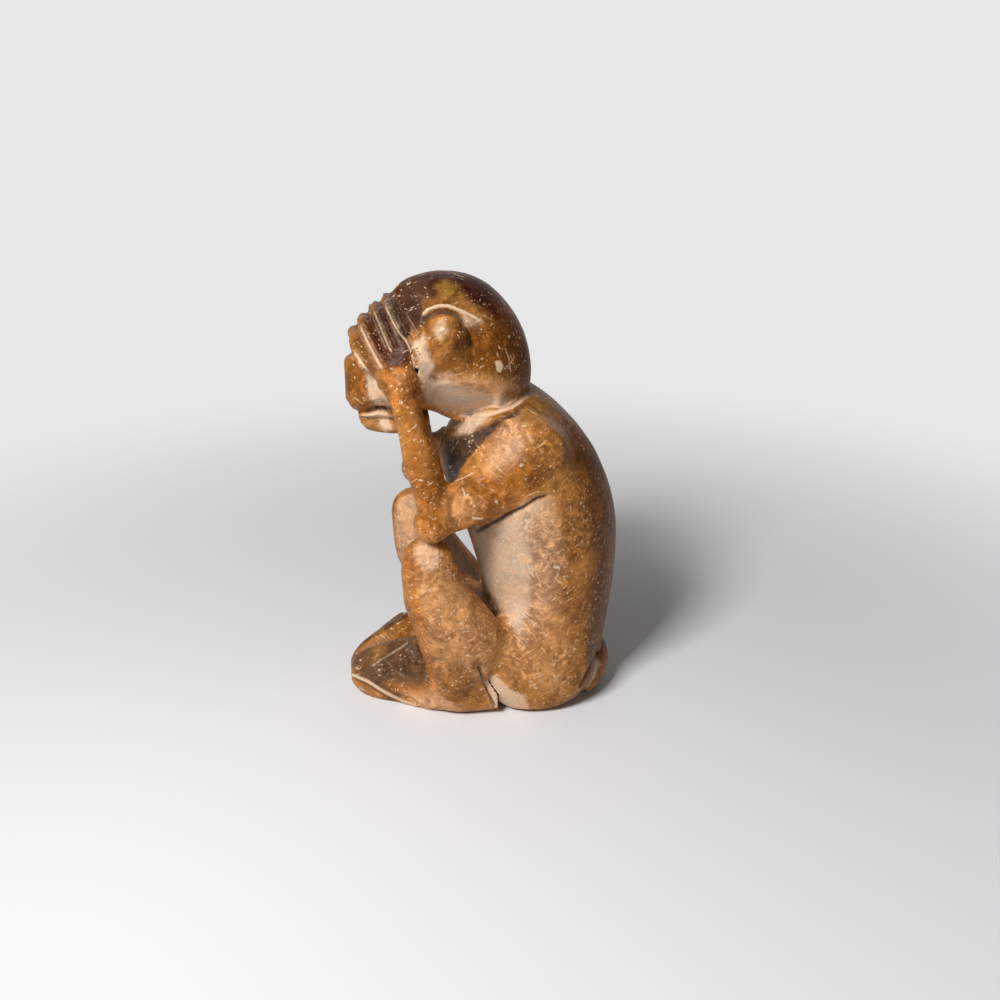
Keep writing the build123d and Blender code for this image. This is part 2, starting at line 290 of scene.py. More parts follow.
class Block:
    """The stone's whole skin while it is carved and stained.

    Rounds say how often a value is spread to its neighbours. The pairs are where an
    effect starts and where it is whole.
    """

    SEAM_ROUNDS = 12
    EDGE_ROUNDS = 8
    FAINT = 0.005
    WEAK = 0.01
    SEAM_CORE = 0.35
    MELT_SHARE = 0.9
    CUT_OWNED = (0.1, 0.45)
    PATCH_OWNED = (0.1, 0.5)
    CUT_MARGIN = 2.5
    PATCH_MARGIN = 2.0
    TIP_DEPTH = 0.15
    FACET_RIM = (0.75, 1.0)
    FACET_HEIGHT = (1.0, 1.3)
    NEAR_SIDE = (-1.5, 0.5)
    IN_SIGHT = (0.0, 0.3)
    APEX_SHARE = 0.35

    def __init__(self, nodes: dict[str, bpy.types.Object], view: Viewpoint, grain: float):
        """Welds the nodes into one even skin.

        Args:
            nodes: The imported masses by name.
            view: The photograph's viewpoint.
            grain: Spacing of the skin's points in millimetres.
        """
        self.view = view
        self.names = sorted(nodes)
        welded, owners = self._gather(nodes)
        self.object = self._fuse(welded, grain)
        mesh = self.object.data
        count = len(mesh.vertices)
        flat = np.empty(count * 3, np.float32)
        mesh.vertices.foreach_get("co", flat)
        self.points = flat.reshape(-1, 3).astype(float) / MM
        self._link_neighbours(mesh)
        self.owner = self._share_out(welded, owners)
        welded.free()
        self.raw = np.zeros(count)
        # Darkening of creases and cut bottoms, and the painted shade of the lap.
        self.soot = np.zeros(count)
        self.tint = np.tile(np.array(StainAndPaintedLight.AMBER.value), (count, 1))

    def _gather(self, nodes: dict[str, bpy.types.Object]) -> tuple[bmesh.types.BMesh, list[int]]:
        """Copies every node into one mesh, each merged by itself, with each face's owner.

        Args:
            nodes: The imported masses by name.

        Returns:
            The mesh, and the index of the piece that owns each face.
        """
        welded, owners = bmesh.new(), []
        for index, name in enumerate(self.names):
            part = bmesh.new()
            part.from_mesh(nodes[name].data)
            bmesh.ops.remove_doubles(part, verts=part.verts, dist=MM * MM)
            copy = bpy.data.meshes.new(name + "_copy")
            part.to_mesh(copy)
            part.free()
            welded.from_mesh(copy)
            owners.extend([index] * (len(welded.faces) - len(owners)))
            bpy.data.meshes.remove(copy)
        for plug in PLUGS:
            for turn in MIRRORS:
                place = Vector(turn * plug.centre) * MM
                size = Matrix.LocRotScale(place, None, Vector(plug.radii) * MM)
                bmesh.ops.create_icosphere(welded, subdivisions=4, radius=1.0, matrix=size)
            owners.extend([self.names.index(plug.owner)] * (len(welded.faces) - len(owners)))
        return welded, owners

    def _fuse(self, welded: bmesh.types.BMesh, grain: float) -> bpy.types.Object:
        """Melts the masses into one skin of even squares.

        Args:
            welded: The masses in one mesh.
            grain: Spacing of the skin's points in millimetres.

        Returns:
            The skin.
        """
        rough = bpy.data.meshes.new("rough_block")
        welded.to_mesh(rough)
        maker = bpy.data.objects.new("rough_block", rough)
        bpy.context.scene.collection.objects.link(maker)
        remesh = maker.modifiers.new("even_skin", "REMESH")
        remesh.mode = "VOXEL"
        remesh.voxel_size = grain * MM
        graph = bpy.context.evaluated_depsgraph_get()
        fused = bpy.data.meshes.new_from_object(maker.evaluated_get(graph))
        bpy.data.objects.remove(maker)
        bpy.data.meshes.remove(rough)
        block = bpy.data.objects.new("block", fused)
        bpy.context.scene.collection.objects.link(block)
        return block

    def _link_neighbours(self, mesh: bpy.types.Mesh) -> None:
        """Tables each point's neighbours, padded with the point itself.

        Args:
            mesh: The skin's mesh.
        """
        ends = np.empty(len(mesh.edges) * 2, np.int32)
        mesh.edges.foreach_get("vertices", ends)
        ends = ends.reshape(-1, 2)
        ends = np.concatenate((ends, ends[:, ::-1]))
        ends = ends[np.argsort(ends[:, 0], kind="stable")]
        self.valence = np.bincount(ends[:, 0], minlength=len(mesh.vertices))
        starts = np.concatenate(([0], np.cumsum(self.valence)[:-1]))
        rank = np.arange(len(ends)) - starts[ends[:, 0]]
        own = np.arange(len(mesh.vertices))
        self.near = np.tile(own[:, None], (1, int(self.valence.max())))
        self.near[ends[:, 0], rank] = ends[:, 1]

    def _share_out(self, welded: bmesh.types.BMesh, owners: list[int]) -> np.ndarray:
        """Gives each point to its nearest mass, with even seams.

        Args:
            welded: The masses in one mesh.
            owners: The index of the piece that owns each face.

        Returns:
            The index of the piece that owns each point.
        """
        tree = BVHTree.FromBMesh(welded)
        nearest = np.array([owners[tree.find_nearest(point)[2]] for point in self.points * MM])
        best, owner = np.zeros(len(nearest)), nearest.copy()
        for index in range(len(self.names)):
            share = self._blur(nearest == index, self.SEAM_ROUNDS)
            owner[share > best] = index
            best = np.maximum(best, share)
        return owner

    def _blur(self, chosen: np.ndarray, rounds: int) -> np.ndarray:
        """Softens the edge of a chosen region.

        Args:
            chosen: True for each point of the region.
            rounds: How far the edge spreads.

        Returns:
            One share a point.
        """
        near = chosen
        for _ in range(rounds):
            near = near[self.near].any(axis=1)
        return self.spread(chosen.astype(float)[:, None], near.astype(float), rounds)[:, 0]

    def spread(self, values: np.ndarray, weight: np.ndarray, rounds: int) -> np.ndarray:
        """Moves values towards their neighbours' mean, in place where weight is over 0.

        Args:
            values: One row a point.
            weight: Share of the way to move in each round.
            rounds: How many times.

        Returns:
            The changed values.
        """
        rows = np.flatnonzero(weight > self.FAINT)
        near, valence = self.near[rows], self.valence[rows, None]
        padding = self.near.shape[1] - valence
        pull = weight[rows, None]
        for _ in range(rounds):
            own = values[rows]
            mean = (values[near].sum(axis=1) - padding * own) / valence
            values[rows] = own + pull * (mean - own)
        return values

    def normals(self) -> np.ndarray:
        """Writes the points to the mesh and reads back its outward normals.

        Returns:
            One unit vector a point.
        """
        mesh = self.object.data
        mesh.vertices.foreach_set("co", (self.points * MM).astype(np.float32).ravel())
        mesh.update()
        flat = np.empty(len(self.points) * 3, np.float32)
        mesh.vertex_normals.foreach_get("vector", flat)
        return flat.reshape(-1, 3).astype(float)

    def owned(self, names: tuple[str, ...]) -> np.ndarray:
        """True for each point of the named pieces."""
        return np.isin(self.owner, [self.names.index(name) for name in names])

    def part(self, names: tuple[str, ...]) -> np.ndarray:
        """How much of each point belongs to the named pieces, soft at their edge."""
        return self._blur(self.owned(names), self.EDGE_ROUNDS)

    def seam(self, first: tuple[str, ...], second: tuple[str, ...], reach: float) -> np.ndarray:
        """A soft band about the seam between two groups of pieces, 1 along the seam.

        Args:
            first: Pieces on one side.
            second: Pieces on the other.
            reach: Half width of the band in millimetres.

        Returns:
            One weight a point.
        """
        mine, theirs = self.owned(first), self.owned(second)
        edge = np.flatnonzero(mine & theirs[self.near].any(axis=1))
        band = np.zeros(len(self.points))
        if not len(edge):
            return band
        tree = KDTree(len(edge))
        for row in edge:
            tree.insert(self.points[row], int(row))
        tree.balance()
        low, high = self.points[edge].min(axis=0) - reach, self.points[edge].max(axis=0) + reach
        close = ((self.points > low) & (self.points < high)).all(axis=1)
        rows = np.flatnonzero((mine | theirs) & close)
        gaps = np.array([tree.find(point)[2] for point in self.points[rows]])
        band[rows] = 1 - smooth(self.SEAM_CORE * reach, reach, gaps)
        return band

    def melt(self, first: tuple[str, ...], second: tuple[str, ...], reach: float, rounds: int,
             where: np.ndarray | float = 1.0) -> None:
        """Blends the crease between two groups of pieces.

        Args:
            first: Pieces on one side.
            second: Pieces on the other.
            reach: Half width of the blend in millimetres.
            rounds: How far the crease fills.
            where: An extra weight a point, to keep part of the crease.
        """
        band = self.seam(first, second, reach) * where
        self.spread(self.points, band * self.MELT_SHARE, rounds)

    def press(self, push: Press) -> None:
        """Pushes the stone softly about a centre, and about its mirror image.

        Args:
            push: Where and how far.
        """
        centre, shift = np.array(push.centre), np.array(push.shift)
        for turn in MIRRORS if push.centre[0] else MIRRORS[:1]:
            gap = np.linalg.norm(self.points - centre * turn, axis=1) / push.reach
            self.points += np.exp(-gap * gap)[:, None] * shift * turn

    def facet(self, flat: Facet) -> None:
        """Planes the stone flat about a centre, and about its mirror image.

        Args:
            flat: The plane and its reach.
        """
        facing = np.array(flat.facing, float) / np.linalg.norm(flat.facing)
        for turn in MIRRORS:
            away = self.points - np.array(flat.centre) * turn
            height = away @ (facing * turn)
            side = np.linalg.norm(away - height[:, None] * facing * turn, axis=1)
            mask = 1 - smooth(*(flat.reach * rim for rim in self.FACET_RIM), side)
            mask *= 1 - smooth(*(flat.reach * rim for rim in self.FACET_HEIGHT), np.abs(height))
            drop = flat.share * mask * np.maximum(height, 0)
            self.points -= drop[:, None] * facing * turn

    def aim(self) -> None:
        """Notes where each point lies on the photograph, for both mirrored sides."""
        self.out = self.normals()
        self.sides = []
        lens = self.view.place()
        for turn in MIRRORS:
            points, normals = self.points * turn, self.out * turn
            sight = lens - points
            sight /= np.linalg.norm(sight, axis=1)[:, None]
            facing = smooth(*self.IN_SIGHT, (sight * normals).sum(axis=1))
            facing *= smooth(*self.NEAR_SIDE, points[:, 0])
            self.sides.append((self.view.pixels(points), facing))

    def _touched(self, mark: Cut | Patch, line: Line, edge: tuple[float, float],
                 margin: float) -> Iterator[tuple[np.ndarray, np.ndarray, np.ndarray]]:
        """Finds what a mark may reach, on the photographed side and the mirrored one.

        Args:
            mark: A cut or a patch; the mirrored side is left out if it was made once.
            line: Its traced points.
            edge: Where its effect starts and is whole, as a share of a piece's own point.
            margin: How far it reaches past its traced points in pixels.

        Yields:
            The touched rows, their pixels and their weights, one side at a time.
        """
        owned = smooth(*edge, self.part(mark.on))
        knots = np.array(line, float)
        low, high = knots.min(axis=0) - margin, knots.max(axis=0) + margin
        for spots, facing in self.sides[:1] if mark.once else self.sides:
            weight = owned * facing
            close = ((spots > low) & (spots < high)).all(axis=1)
            rows = np.flatnonzero((weight > self.WEAK) & close)
            yield rows, spots[rows], weight[rows]

    def cut(self, stroke: Cut) -> None:
        """Carves one traced stroke, and bares its bottom or paints it darker.

        Args:
            stroke: The traced stroke.
        """
        reach = stroke.width * self.view.scale()
        touched = self._touched(stroke, stroke.line, self.CUT_OWNED, self.CUT_MARGIN * reach)
        for rows, spots, weight in touched:
            gap, along = line_distance(spots, stroke.line)
            ends = 1.0
            if stroke.fade > 0:
                tips = smooth(0, stroke.fade, along) * smooth(0, stroke.fade, 1 - along)
                ends = self.TIP_DEPTH + (1 - self.TIP_DEPTH) * tips
            if stroke.blade is Blade.VEE:
                profile = np.clip(1 - gap / reach, 0, 1)
            else:
                profile = np.exp(-((gap / reach) ** 2) * 2)
            amount = profile * ends * weight
            self.points[rows] -= (stroke.depth * amount)[:, None] * self.out[rows]
            self.raw[rows] = np.maximum(self.raw[rows], stroke.raw * amount)
            self.soot[rows] = np.maximum(self.soot[rows], stroke.soot * amount)

    def paint_patch(self, patch: Patch) -> None:
        """Paints a patch of stain, painted shade or painted highlight into the stone's tint.

        Args:
            patch: The traced patch.
        """
        closed = patch.outline + patch.outline[:1]
        touched = self._touched(patch, closed, self.PATCH_OWNED, self.PATCH_MARGIN * patch.soft)
        for rows, spots, weight in touched:
            gap, _ = line_distance(spots, closed)
            gap = np.where(inside(spots, patch.outline), gap, -gap)
            amount = patch.amount * weight * smooth(-patch.soft, patch.soft, gap)
            self._mix(rows, amount, patch.stain)
            self.raw[rows] += amount * (patch.raw - self.raw[rows])

    def wipe(self, stain: StainAndPaintedLight, amount: np.ndarray) -> None:
        """Mixes a stain colour into every point by its own amount, also for painted shade."""
        self._mix(np.arange(len(self.points)), amount, stain)

    def _mix(self, rows: np.ndarray, amount: np.ndarray, stain: StainAndPaintedLight) -> None:
        """Mixes a stain colour into the tint of some points, also for painted shade and
        highlights.
        """
        self.tint[rows] += amount[:, None] * (np.array(stain.value) - self.tint[rows])

    def hollowness(self, rounds: int) -> np.ndarray:
        """How deep each point lies under its smoothed surroundings, in millimetres."""
        calm = self.spread(self.points.copy(), np.ones(len(self.points)), rounds)
        return ((calm - self.points) * self.out).sum(axis=1)

    def ripple(self, size: float, amount: float) -> None:
        """Leaves the hand's unevenness on the whole skin.

        Args:
            size: Length of a wave in millimetres.
            amount: Its height in millimetres.
        """
        spots = self.points / size
        waves = np.array([noise.noise(Vector(spot)) for spot in spots])
        self.points += (amount * waves)[:, None] * self.out

    def settle(self) -> None:
        """Keeps the stone on the plane that it stands on."""
        self.points[:, 2] = np.maximum(self.points[:, 2], 0)

    def split(self, finish: bpy.types.Material) -> dict[str, bpy.types.Object]:
        """Parts the skin into one closed piece a mass.

        Args:
            finish: The material that every piece gets.

        Returns:
            The pieces by the name of the mass they stand for.
        """
        mesh = self.object.data
        out = self.normals()
        self._store("FLOAT_VECTOR", "skin_normal", "vector", out)
        self._store("FLOAT_VECTOR", "tint", "vector", self.tint)
        self._store("FLOAT", "raw", "value", np.clip(self.raw, 0, 1))
        # Stores the darkening of creases and cut bottoms with the painted shade of the lap.
        self._store("FLOAT", "soot", "value", np.clip(self.soot, 0, 1))
        corners = np.empty(len(mesh.loops), np.int32)
        mesh.loops.foreach_get("vertex_index", corners)
        starts = np.empty(len(mesh.polygons), np.int32)
        mesh.polygons.foreach_get("loop_start", starts)
        owner = np.maximum.reduceat(self.owner[corners], starts)
        for name in self.names:
            mesh.materials.append(bpy.data.materials.new(name))
        mesh.polygons.foreach_set("material_index", owner.astype(np.int32))
        bpy.ops.object.select_all(action="DESELECT")
        bpy.context.view_layer.objects.active = self.object
        self.object.select_set(True)
        bpy.ops.object.mode_set(mode="EDIT")
        bpy.ops.mesh.select_all(action="SELECT")
        bpy.ops.mesh.separate(type="MATERIAL")
        bpy.ops.object.mode_set(mode="OBJECT")
        pieces = {}
        for piece in list(bpy.context.selected_objects):
            name = piece.data.materials[0].name
            piece.name = piece.data.name = "carved_" + name
            piece.data.materials.clear()
            piece.data.materials.append(finish)
            self._close(piece)
            pieces[name] = piece
        for name in self.names:
            bpy.data.materials.remove(bpy.data.materials[name])
        return pieces

    def _store(self, kind: str, name: str, slot: str, values: np.ndarray) -> None:
        """Keeps one value a point on the mesh."""
        layer = self.object.data.attributes.new(name, kind, "POINT")
        layer.data.foreach_set(slot, values.astype(np.float32).ravel())

    def _close(self, piece: bpy.types.Object) -> None:
        """Closes a piece inside the stone and keeps the whole skin's shading.

        Args:
            piece: A piece that is open where it was parted.
        """
        shell = bmesh.new()
        shell.from_mesh(piece.data)
        heart = sum((v.co for v in shell.verts), Vector()) / len(shell.verts)
        for rim in self._rims(shell):
            ends = {vert for edge in rim for vert in edge.verts}
            middle = sum((vert.co for vert in ends), Vector()) / len(ends)
            wall = bmesh.ops.extrude_edge_only(shell, edges=rim)["geom"]
            tips = [item for item in wall if isinstance(item, bmesh.types.BMVert)]
            bmesh.ops.pointmerge(shell, verts=tips, merge_co=middle.lerp(heart, self.APEX_SHARE))
        for face in shell.faces:
            face.smooth = True
            face.material_index = 0
        shell.to_mesh(piece.data)
        shell.free()
        normals = np.empty(len(piece.data.vertices) * 3, np.float32)
        piece.data.attributes["skin_normal"].data.foreach_get("vector", normals)
        normals = normals.reshape(-1, 3)
        length = np.linalg.norm(normals, axis=1)
        normals[length < 0.5] = (0, 0, 1)
        piece.data.normals_split_custom_set_from_vertices(normals.tolist())
        piece.data.attributes.remove(piece.data.attributes["skin_normal"])

    @staticmethod
    def _rims(shell: bmesh.types.BMesh) -> list[list[bmesh.types.BMEdge]]:
        """Groups the open edges of a piece into its rims.

        Args:
            shell: The open piece.

        Returns:
            The edges of each rim.
        """
        left = {edge for edge in shell.edges if edge.is_boundary}
        rims = []
        while left:
            rim, queue = [], [left.pop()]
            while queue:
                edge = queue.pop()
                rim.append(edge)
                for vert in edge.verts:
                    for other in vert.link_edges:
                        if other in left:
                            left.remove(other)
                            queue.append(other)
            rims.append(rim)
        return rims


class Graph:
    """A short hand for wiring a node tree."""

    def __init__(self, tree: bpy.types.NodeTree, keep: bool = False):
        """Takes over a tree, emptied unless its nodes are kept.

        Args:
            tree: The node tree.
            keep: Whether its nodes stay.
        """
        if not keep:
            tree.nodes.clear()
        self.tree = tree

    def node(self, kind: str, **settings: object) -> bpy.types.Node:
        """Adds a node; settings name its properties, or its inputs if they start with in_.

        Args:
            kind: The node's type name.
            settings: Property values, and in_ values or sockets to link.

        Returns:
            The new node.
        """
        made = self.tree.nodes.new(kind)
        inputs = {}
        for name, value in settings.items():
            if name.startswith("in_"):
                inputs[name[3:]] = value
            else:
                setattr(made, name, value)
        for name, value in inputs.items():
            key = int(name) if name.isdigit() else name.replace("_", " ")
            self.feed(made.inputs[key], value)
        return made

    def feed(self, socket: Socket, value: object) -> None:
        """Links a socket to another, or sets its value.

        Args:
            socket: The input.
            value: What it gets.
        """
        if isinstance(value, Socket):
            self.tree.links.new(value, socket)
        elif isinstance(value, tuple) and len(value) == 3 and socket.type == "RGBA":
            socket.default_value = (*value, 1.0)
        else:
            socket.default_value = value

    def math(self, operation: str, first: Feed, second: Feed = 0.0,
             clamp: bool = False) -> Socket:
        """The result of one sum.

        Args:
            operation: The sum's name.
            first: Its first value.
            second: Its second value.
            clamp: Whether it stays in 0 to 1.

        Returns:
            The socket with the result.
        """
        made = self.node("ShaderNodeMath", operation=operation, use_clamp=clamp, in_0=first,
                         in_1=second)
        return made.outputs[0]

    times = partialmethod(math, "MULTIPLY")
    plus = partialmethod(math, "ADD")
    less = partialmethod(math, "SUBTRACT")
    most = partialmethod(math, "MAXIMUM")

    def mix(self, share: Feed, first: Feed, second: Feed, blend: str = "MIX") -> Socket:
        """Mixes two colours.

        Args:
            share: How much of the second.
            first: A colour.
            second: Another.
            blend: How they are mixed.

        Returns:
            The socket with the colour.
        """
        made = self.node("ShaderNodeMix", data_type="RGBA", blend_type=blend, in_0=share,
                         in_6=first, in_7=second)
        return made.outputs[2]

    def band(self, value: Feed, low: float, high: float, top: float = 1.0) -> Socket:
        """Eases a value from 0 at low to top at high.

        Args:
            value: What is eased.
            low: Where it starts.
            high: Where it ends.
            top: What it reaches.

        Returns:
            The socket with the result.
        """
        made = self.node("ShaderNodeMapRange", interpolation_type="SMOOTHSTEP", in_0=value,
                         in_1=low, in_2=high, in_4=top)
        return made.outputs[0]

    def grain(self, spot: Socket, scale: float, detail: float = 4.0, rough: float = 0.55,
              twist: float = 0.0) -> Socket:
        """A cloud of noise of a scale in spots a metre.

        Args:
            spot: The place.
            scale: Spots a metre.
            detail: How many finer layers.
            rough: How strong they are.
            twist: How much the cloud is bent.

        Returns:
            The socket with the result.
        """
        made = self.node("ShaderNodeTexNoise", in_Vector=spot, in_Scale=scale, in_Detail=detail,
                         in_Roughness=rough, in_Distortion=twist)
        return made.outputs[0]

    def turned(self, spot: Socket, turn: tuple[float, float, float],
               stretch: float) -> Socket:
        """Turns a place and draws what is read there out along one way.

        Args:
            spot: The place.
            turn: Turns in radians.
            stretch: How many times as long.

        Returns:
            The socket with the new place.
        """
        made = self.node("ShaderNodeMapping", vector_type="TEXTURE", in_Vector=spot,
                         in_Rotation=turn, in_Scale=(1, stretch, 1))
        return made.outputs[0]


def mask_group(name: str, masks: tuple[str, ...]) -> tuple[Graph, Socket, bpy.types.Node]:
    """Starts a group of masks that follow the place on the stone.

    Args:
        name: The group's name.
        masks: The masks that it puts out.

    Returns:
        Its graph, the socket with the place, and the node that takes the masks.
    """
    group = bpy.data.node_groups.new(name, "ShaderNodeTree")
    group.interface.new_socket("Place", in_out="INPUT", socket_type="NodeSocketVector")
    for mask in masks:
        group.interface.new_socket(mask, in_out="OUTPUT", socket_type="NodeSocketFloat")
    graph = Graph(group)
    place = graph.node("NodeGroupInput").outputs["Place"]
    return graph, place, graph.node("NodeGroupOutput")


MOTTLE = {"Broad": (130, 5, 0.6, 0.6), "Fine": (620, 6, 0.65, 0.8), "Grit": (2600, 3, 0.6)}


def mottle_group() -> bpy.types.ShaderNodeTree:
    """Cloudy unevenness of a rubbed-in stain at three scales.

    Returns:
        A group with one mask a scale.
    """
    graph, place, result = mask_group("stain_mottle", tuple(MOTTLE))
    for mask, cloud in MOTTLE.items():
        graph.feed(result.inputs[mask], graph.grain(place, *cloud))
    return graph.tree


@dataclass(frozen=True)
class Toolmarks:
    """Pale nicks and hair scratches that the tools left through the wax.

    A sweep is a turn of the scratches and a shift of the noise that gates them. A chip
    is a turn, a number of cells a metre and the least room that leaves a nick.
    """

    warp: float = 0.0009
    warp_scale: float = 300.0
    sweeps: tuple = (((0.5, 0.2, 0.3), 3.0), ((2.0, 0.9, 1.2), 11.0), ((1.1, 2.2, 0.4), 29.0))
    sweep_scale: float = 2100.0
    sweep_stretch: float = 14.0
    gate_scale: float = 210.0
    scratch_line: tuple[float, float] = (0.63, 0.70)
    scratch_gate: tuple[float, float] = (0.50, 0.60)
    hair_line: tuple[float, float] = (0.42, 0.64)
    hair_gate: tuple[float, float] = (0.38, 0.56)
    chips: tuple = (((0.4, 1.1, 0.2), 900.0, 0.20), ((1.9, 0.3, 1.0), 1500.0, 0.16))
    chip_stretch: float = 2.2
    chip_size: tuple[float, float] = (0.9, 0.26)
    chip_edge: tuple[float, float] = (0.15, 0.05)
    chip_gate: tuple[float, float] = (0.44, 0.60)
    size_scale: float = 0.6
    spread_scale: float = 0.22

    def build(self) -> bpy.types.ShaderNodeTree:
        """Makes the group of masks.

        Returns:
            A group with a mask for scratches, nicks and brushing.
        """
        graph, place, result = mask_group("tool_scratches", ("Scratches", "Nicks", "Brushing"))
        cloud = graph.node("ShaderNodeTexNoise", in_Vector=place, in_Scale=self.warp_scale,
                           in_Detail=2.0)
        bent = graph.node("ShaderNodeMix", data_type="VECTOR", in_0=self.warp, in_4=place,
                          in_5=cloud.outputs["Color"]).outputs[1]
        scratches = hairs = nicks = 0.0
        for turn, shift in self.sweeps:
            lines = graph.grain(graph.turned(bent, turn, self.sweep_stretch), self.sweep_scale,
                                2, 0.5)
            moved = graph.node("ShaderNodeMapping", in_Vector=place, in_Location=(shift, 0, 0))
            gate = graph.grain(moved.outputs[0], self.gate_scale, 2)
            thin = graph.times(graph.band(lines, *self.scratch_line),
                               graph.band(gate, *self.scratch_gate))
            hair = graph.times(graph.band(lines, *self.hair_line),
                               graph.band(gate, *self.hair_gate))
            scratches, hairs = graph.most(scratches, thin), graph.most(hairs, hair)
        for turn, scale, least in self.chips:
            cells = graph.node("ShaderNodeTexVoronoi", in_Scale=scale,
                               in_Vector=graph.turned(bent, turn, self.chip_stretch))
            size = graph.grain(place, self.size_scale * scale, 3, 0.6)
            room = graph.less(graph.times(size, self.chip_size[0]), self.chip_size[1])
            near = graph.less(room, cells.outputs["Distance"])
            chip = graph.band(near, least - self.chip_edge[0], least - self.chip_edge[1])
            spread = graph.grain(place, self.spread_scale * scale, 2)
            nicks = graph.most(nicks, graph.times(chip, graph.band(spread, *self.chip_gate)))
        for mask, value in (("Scratches", scratches), ("Brushing", hairs), ("Nicks", nicks)):
            graph.feed(result.inputs[mask], value)
        return graph.tree


@dataclass(frozen=True)
class Soapstone:
    """Soapstone rubbed with stain and waxed, raw where the knife went last."""

    wax_roughness: float = 0.34
    raw_roughness: float = 0.62
    cloudy_roughness: float = 0.24
    relief: float = 0.00018
    relief_strength: float = 0.8
    sheen: float = 0.22
    wax_ior: float = 1.38
    dark: Colour = (0.36, 0.29, 0.26)
    light: Colour = (1.75, 1.75, 1.7)
    brushing: float = 0.26
    scratching: float = 0.5
    nicking: float = 0.58
    ragged: float = 0.5

    def _stained(self, graph: Graph, tint: Socket, mottle: dict[str, Socket],
                 brushed: Socket) -> Socket:
        """The colour of the waxed stone, darker and lighter by the rub of the stain.

        Args:
            graph: The material's graph.
            tint: The stain.
            mottle: The clouds by name.
            brushed: How much of it is brushed thin.

        Returns:
            The socket with the colour.
        """
        dark = graph.mix(1.0, tint, self.dark, "MULTIPLY")
        light = graph.mix(1.0, tint, self.light, "MULTIPLY")
        colour = tint
        for mask, low, high, share, tone in (
            ("Broad", 0.62, 0.40, 0.80, dark), ("Fine", 0.48, 0.70, 0.75, light),
            ("Fine", 0.47, 0.33, 0.60, dark), ("Grit", 0.50, 0.34, 0.35, dark),
        ):
            colour = graph.mix(graph.band(mottle[mask], low, high, share), colour, tone)
        return graph.mix(brushed, colour, light)

    def _bare(self, graph: Graph, mottle: dict[str, Socket]) -> Socket:
        """The colour of the raw stone.

        Args:
            graph: The material's graph.
            mottle: The clouds by name.

        Returns:
            The socket with the colour.
        """
        colour = StainAndPaintedLight.ASH.value
        for mask, low, high, share, tone in (
            ("Fine", 0.38, 0.62, 1.0, StainAndPaintedLight.BLUSH), ("Grit", 0.45, 0.62, 0.35, StainAndPaintedLight.CREAM),
            ("Broad", 0.48, 0.30, 0.15, StainAndPaintedLight.BARK),
        ):
            colour = graph.mix(graph.band(mottle[mask], low, high, share), colour, tone.value)
        return colour

    def _frayed(self, graph: Graph, mask: Socket, cloud: Socket) -> Socket:
        """Frays the edge of a mask by a cloud."""
        return graph.plus(mask, graph.times(graph.less(cloud, 0.5), self.ragged))

    def build(self) -> bpy.types.Material:
        """Makes the material.

        Returns:
            The finish for every carved piece.
        """
        finish = bpy.data.materials.new("waxed_soapstone")
        finish.use_nodes = True
        graph = Graph(finish.node_tree)
        place = graph.node("ShaderNodeTexCoord").outputs["Object"]
        tint = graph.node("ShaderNodeAttribute", attribute_name="tint").outputs["Vector"]
        raw = graph.node("ShaderNodeAttribute", attribute_name="raw").outputs["Fac"]
        soot = graph.node("ShaderNodeAttribute", attribute_name="soot").outputs["Fac"]
        clouds = graph.node("ShaderNodeGroup", node_tree=mottle_group(), in_Place=place)
        marks = graph.node("ShaderNodeGroup", node_tree=Toolmarks().build(), in_Place=place)
        mottle = {name: clouds.outputs[name] for name in MOTTLE}
        fine, grit = mottle["Fine"], mottle["Grit"]
        brushed = graph.times(marks.outputs["Brushing"], self.brushing)
        bared = graph.times(graph.band(self._frayed(graph, raw, fine), 0.12, 0.85),
                            graph.band(raw, 0.0, 0.3))
        colour = graph.mix(bared, self._stained(graph, tint, mottle, brushed),
                           self._bare(graph, mottle))
        nicked = graph.most(graph.times(marks.outputs["Scratches"], self.scratching),
                            graph.times(marks.outputs["Nicks"], self.nicking))
        nicked = graph.times(nicked, graph.less(1.0, soot, clamp=True))
        colour = graph.mix(nicked, colour, StainAndPaintedLight.CREAM.value)
        # Darkens towards near-black by the stored darkening: creases, cut bottoms and painted lap
        # shade.
        crease_and_shade_share = graph.times(graph.band(self._frayed(graph, soot, grit), 0.15, 0.95),
                            graph.band(soot, 0.02, 0.2))
        colour = graph.mix(crease_and_shade_share, colour, StainAndPaintedLight.SHADE_AND_CREASE_BLACK.value)
        rough = graph.plus(graph.times(bared, self.raw_roughness - self.wax_roughness),
                           graph.times(fine, self.cloudy_roughness))
        rough = graph.plus(rough, self.wax_roughness - self.cloudy_roughness / 2)
        height = graph.plus(graph.times(fine, 0.6), graph.times(grit, 0.3))
        height = graph.less(height, graph.times(nicked, 0.3))
        height = graph.less(height, graph.times(brushed, 0.6))
        bump = graph.node("ShaderNodeBump", in_Height=height, in_Strength=self.relief_strength,
                          in_Distance=self.relief)
        shader = graph.node("ShaderNodeBsdfPrincipled", in_Base_Color=colour,
                            in_Roughness=rough, in_Specular_IOR_Level=self.sheen,
                            in_IOR=self.wax_ior, in_Normal=bump.outputs[0])
        graph.node("ShaderNodeOutputMaterial", in_Surface=shader.outputs[0])
        return finish


HEAD = ("head", "muzzle", "left_ear", "right_ear")
FINGERS = both("little_finger", "ring_finger", "middle_finger", "index_finger")
HANDS = FINGERS + both("hand")
ARMS = both("forearm", "upper_arm")
SEAT = both("haunch") + ("torso", "tail")
LEGS = both("leg")
FEET = both("foot") + ("shin_web",)


